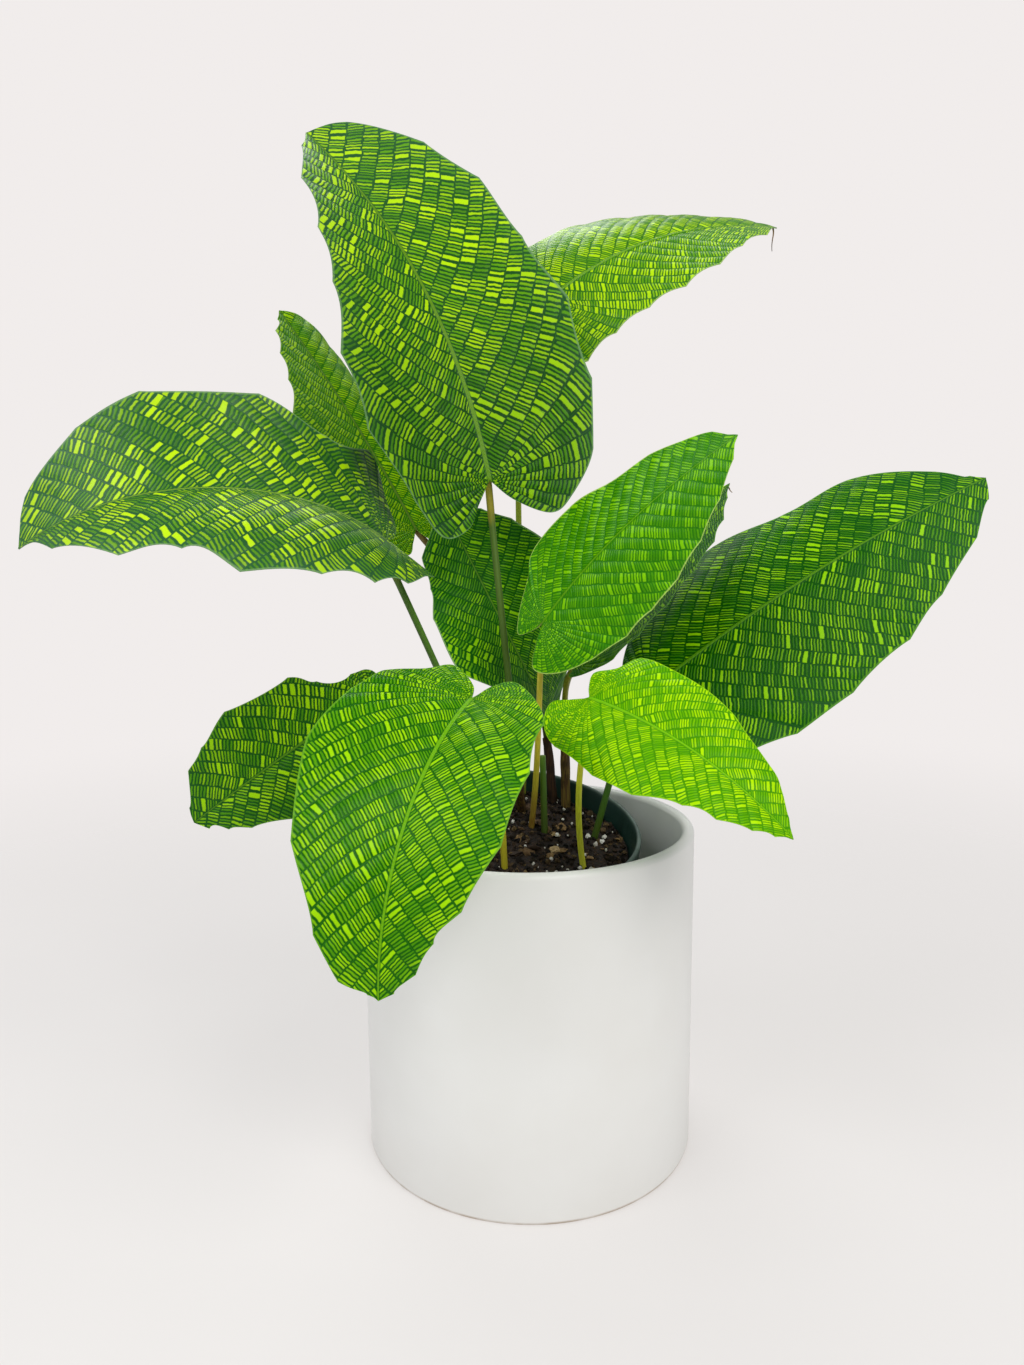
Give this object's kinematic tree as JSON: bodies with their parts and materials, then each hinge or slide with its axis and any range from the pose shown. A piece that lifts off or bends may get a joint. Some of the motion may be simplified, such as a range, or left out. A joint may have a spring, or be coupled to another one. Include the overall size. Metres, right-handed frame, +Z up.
{
  "type": "potted calathea musaica",
  "caption": "Potted prayer plant with mosaic-patterned leaves on thin stalks, in a nursery pot set inside a straight round cover pot.",
  "frame": {"origin": "middle of the cover pot's flat base, at floor level", "axes": "+Z up, -Y towards the front, where the lowest large leaf hangs over the rim, +X to the right seen from the front"},
  "size_m": [0.4539, 0.2761, 0.5255],
  "materials": {
    "white_ceramic": "off-white ceramic with a satin glaze and a few tiny dark specks",
    "green_plastic": "dark green moulded plastic",
    "soil": "dark moist peat with bark chips and white perlite",
    "leaf_dark": "satin leaf, dark green with a mosaic of bright yellow-green cells",
    "leaf_light": "satin young leaf, light yellow-green mosaic",
    "stalk_green": "smooth olive-green stalk",
    "stalk_yellow": "smooth yellow-green stalk",
    "dry_sheath": "dry dark brown leaf sheath"
  },
  "bodies": {
    "root": {"outer_pot": "white_ceramic", "nursery_pot": "green_plastic", "soil": "soil", "blade_tall": "leaf_dark", "blade_back_right": "leaf_dark", "blade_back_left": "leaf_dark", "blade_left": "leaf_dark", "blade_low_left": "leaf_dark", "blade_front": "leaf_dark", "blade_right": "leaf_dark", "blade_centre": "leaf_dark", "blade_behind": "leaf_dark", "blade_low_right": "leaf_light", "blade_young": "leaf_light", "stalk_tall": "stalk_green", "stalk_back_right": "stalk_green", "stalk_back_left": "stalk_green", "stalk_left": "stalk_green", "stalk_low_left": "stalk_green", "stalk_right": "stalk_green", "stalk_centre": "stalk_green", "stalk_behind": "stalk_green", "stub": "stalk_green", "stalk_front": "stalk_yellow", "stalk_low_right": "stalk_yellow", "stalk_young": "stalk_yellow", "sheath_tall": "dry_sheath", "sheath_centre": "dry_sheath", "sheath_behind": "dry_sheath"}
  },
  "joints": []
}
